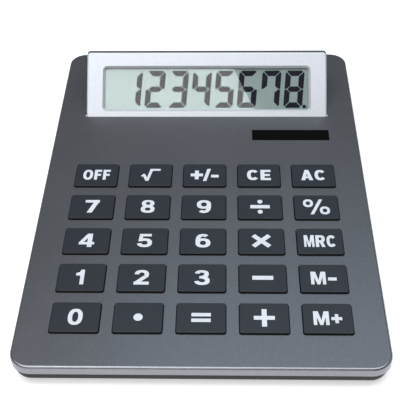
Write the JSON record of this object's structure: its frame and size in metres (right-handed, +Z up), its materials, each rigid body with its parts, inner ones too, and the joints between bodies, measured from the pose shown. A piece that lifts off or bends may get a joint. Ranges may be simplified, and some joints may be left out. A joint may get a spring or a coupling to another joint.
{
  "type": "desk calculator",
  "caption": "Large solar desk calculator: a flat grey slab with square keys, a small solar window, and a silver display housing that tilts up at the back.",
  "frame": {"origin": "middle of the footprint, on the surface that the feet rest on", "axes": "+X to the user's right, +Y to the back where the display is, +Z up"},
  "size_m": [0.205, 0.2902, 0.0456],
  "materials": {
    "silver_grey_paint": "satin metallic grey paint on moulded plastic",
    "black_plastic": "fine moulded texture",
    "key_plastic": "smooth semi-gloss",
    "steel": "zinc plated",
    "foot_rubber": "matt",
    "cell_jacket": "printed sleeve without lettering",
    "lead_insulation": "soft insulation",
    "circuit_board": "solder mask",
    "silicone": "translucent moulded rubber",
    "component_black": "moulded",
    "solar_window_plastic": "polished tinted acrylic",
    "solar_cell": "amorphous silicon on glass",
    "silver_paint": "fine silver paint",
    "dark_grey_plastic": "fine moulded texture",
    "clear_lens": "polished clear acrylic",
    "lcd_glass": "grey-green reflective display"
  },
  "bodies": {
    "case": {"battery_cell": "cell_jacket", "battery_contact_negative": "steel", "battery_contact_positive": "steel", "battery_leads": "lead_insulation", "board_screws": "steel", "capacitor": "component_black", "case_screws": "steel", "controller_chip": "component_black", "display_ribbon": "lead_insulation", "dome_sheet": "silicone", "foot_front_left": "foot_rubber", "foot_front_right": "foot_rubber", "foot_rear_left": "foot_rubber", "foot_rear_right": "foot_rubber", "lower_case": "black_plastic", "main_circuit_board": "circuit_board", "solar_cell": "solar_cell", "solar_leads": "lead_insulation", "solar_window": "solar_window_plastic", "upper_case": "silver_grey_paint"},
    "display": {"display_bezel": "silver_paint", "display_lens": "clear_lens", "display_gasket": "component_black", "lcd_panel": "lcd_glass", "lcd_reflector": "lcd_glass", "zebra_connector": "silicone", "display_board": "circuit_board", "display_back_cover": "dark_grey_plastic", "display_screws": "steel", "pivot_pin_left": "steel", "pivot_pin_right": "steel", "hinge_washers": "steel"},
    "battery_door": {"battery_door": "black_plastic"},
    "key_0": {"key_0": "key_plastic"},
    "key_1": {"key_1": "key_plastic"},
    "key_2": {"key_2": "key_plastic"},
    "key_3": {"key_3": "key_plastic"},
    "key_4": {"key_4": "key_plastic"},
    "key_5": {"key_5": "key_plastic"},
    "key_6": {"key_6": "key_plastic"},
    "key_7": {"key_7": "key_plastic"},
    "key_8": {"key_8": "key_plastic"},
    "key_9": {"key_9": "key_plastic"},
    "key_all_clear": {"key_all_clear": "key_plastic"},
    "key_clear_entry": {"key_clear_entry": "key_plastic"},
    "key_divide": {"key_divide": "key_plastic"},
    "key_equals": {"key_equals": "key_plastic"},
    "key_memory_minus": {"key_memory_minus": "key_plastic"},
    "key_memory_plus": {"key_memory_plus": "key_plastic"},
    "key_memory_recall": {"key_memory_recall": "key_plastic"},
    "key_minus": {"key_minus": "key_plastic"},
    "key_multiply": {"key_multiply": "key_plastic"},
    "key_off": {"key_off": "key_plastic"},
    "key_percent": {"key_percent": "key_plastic"},
    "key_plus": {"key_plus": "key_plastic"},
    "key_point": {"key_point": "key_plastic"},
    "key_root": {"key_root": "key_plastic"},
    "key_sign": {"key_sign": "key_plastic"}
  },
  "joints": [
    {"name": "display_tilt", "type": "hinge", "parent": "case", "child": "display", "pos_m": [0, 0.07147, 0.0141], "axis": [1, 0, 0], "range_deg": [-41.5, 18], "deforming": ["display_ribbon"]},
    {"name": "battery_door_slide", "type": "slide", "parent": "case", "child": "battery_door", "axis": [0, 1, 0], "range_m": [0, 0.024]},
    {"name": "press_0", "type": "slide", "parent": "case", "child": "key_0", "axis": [0, 0, -1], "range_m": [0, 0.0013], "stiffness_N_per_m": 260, "deforming": ["dome_sheet"]},
    {"name": "press_1", "type": "slide", "parent": "case", "child": "key_1", "axis": [0, 0, -1], "range_m": [0, 0.0013], "stiffness_N_per_m": 260, "deforming": ["dome_sheet"]},
    {"name": "press_2", "type": "slide", "parent": "case", "child": "key_2", "axis": [0, 0, -1], "range_m": [0, 0.0013], "stiffness_N_per_m": 260, "deforming": ["dome_sheet"]},
    {"name": "press_3", "type": "slide", "parent": "case", "child": "key_3", "axis": [0, 0, -1], "range_m": [0, 0.0013], "stiffness_N_per_m": 260, "deforming": ["dome_sheet"]},
    {"name": "press_4", "type": "slide", "parent": "case", "child": "key_4", "axis": [0, 0, -1], "range_m": [0, 0.0013], "stiffness_N_per_m": 260, "deforming": ["dome_sheet"]},
    {"name": "press_5", "type": "slide", "parent": "case", "child": "key_5", "axis": [0, 0, -1], "range_m": [0, 0.0013], "stiffness_N_per_m": 260, "deforming": ["dome_sheet"]},
    {"name": "press_6", "type": "slide", "parent": "case", "child": "key_6", "axis": [0, 0, -1], "range_m": [0, 0.0013], "stiffness_N_per_m": 260, "deforming": ["dome_sheet"]},
    {"name": "press_7", "type": "slide", "parent": "case", "child": "key_7", "axis": [0, 0, -1], "range_m": [0, 0.0013], "stiffness_N_per_m": 260, "deforming": ["dome_sheet"]},
    {"name": "press_8", "type": "slide", "parent": "case", "child": "key_8", "axis": [0, 0, -1], "range_m": [0, 0.0013], "stiffness_N_per_m": 260, "deforming": ["dome_sheet"]},
    {"name": "press_9", "type": "slide", "parent": "case", "child": "key_9", "axis": [0, 0, -1], "range_m": [0, 0.0013], "stiffness_N_per_m": 260, "deforming": ["dome_sheet"]},
    {"name": "press_all_clear", "type": "slide", "parent": "case", "child": "key_all_clear", "axis": [0, 0, -1], "range_m": [0, 0.0013], "stiffness_N_per_m": 260, "deforming": ["dome_sheet"]},
    {"name": "press_clear_entry", "type": "slide", "parent": "case", "child": "key_clear_entry", "axis": [0, 0, -1], "range_m": [0, 0.0013], "stiffness_N_per_m": 260, "deforming": ["dome_sheet"]},
    {"name": "press_divide", "type": "slide", "parent": "case", "child": "key_divide", "axis": [0, 0, -1], "range_m": [0, 0.0013], "stiffness_N_per_m": 260, "deforming": ["dome_sheet"]},
    {"name": "press_equals", "type": "slide", "parent": "case", "child": "key_equals", "axis": [0, 0, -1], "range_m": [0, 0.0013], "stiffness_N_per_m": 260, "deforming": ["dome_sheet"]},
    {"name": "press_memory_minus", "type": "slide", "parent": "case", "child": "key_memory_minus", "axis": [0, 0, -1], "range_m": [0, 0.0013], "stiffness_N_per_m": 260, "deforming": ["dome_sheet"]},
    {"name": "press_memory_plus", "type": "slide", "parent": "case", "child": "key_memory_plus", "axis": [0, 0, -1], "range_m": [0, 0.0013], "stiffness_N_per_m": 260, "deforming": ["dome_sheet"]},
    {"name": "press_memory_recall", "type": "slide", "parent": "case", "child": "key_memory_recall", "axis": [0, 0, -1], "range_m": [0, 0.0013], "stiffness_N_per_m": 260, "deforming": ["dome_sheet"]},
    {"name": "press_minus", "type": "slide", "parent": "case", "child": "key_minus", "axis": [0, 0, -1], "range_m": [0, 0.0013], "stiffness_N_per_m": 260, "deforming": ["dome_sheet"]},
    {"name": "press_multiply", "type": "slide", "parent": "case", "child": "key_multiply", "axis": [0, 0, -1], "range_m": [0, 0.0013], "stiffness_N_per_m": 260, "deforming": ["dome_sheet"]},
    {"name": "press_off", "type": "slide", "parent": "case", "child": "key_off", "axis": [0, 0, -1], "range_m": [0, 0.0013], "stiffness_N_per_m": 260, "deforming": ["dome_sheet"]},
    {"name": "press_percent", "type": "slide", "parent": "case", "child": "key_percent", "axis": [0, 0, -1], "range_m": [0, 0.0013], "stiffness_N_per_m": 260, "deforming": ["dome_sheet"]},
    {"name": "press_plus", "type": "slide", "parent": "case", "child": "key_plus", "axis": [0, 0, -1], "range_m": [0, 0.0013], "stiffness_N_per_m": 260, "deforming": ["dome_sheet"]},
    {"name": "press_point", "type": "slide", "parent": "case", "child": "key_point", "axis": [0, 0, -1], "range_m": [0, 0.0013], "stiffness_N_per_m": 260, "deforming": ["dome_sheet"]},
    {"name": "press_root", "type": "slide", "parent": "case", "child": "key_root", "axis": [0, 0, -1], "range_m": [0, 0.0013], "stiffness_N_per_m": 260, "deforming": ["dome_sheet"]},
    {"name": "press_sign", "type": "slide", "parent": "case", "child": "key_sign", "axis": [0, 0, -1], "range_m": [0, 0.0013], "stiffness_N_per_m": 260, "deforming": ["dome_sheet"]}
  ]
}
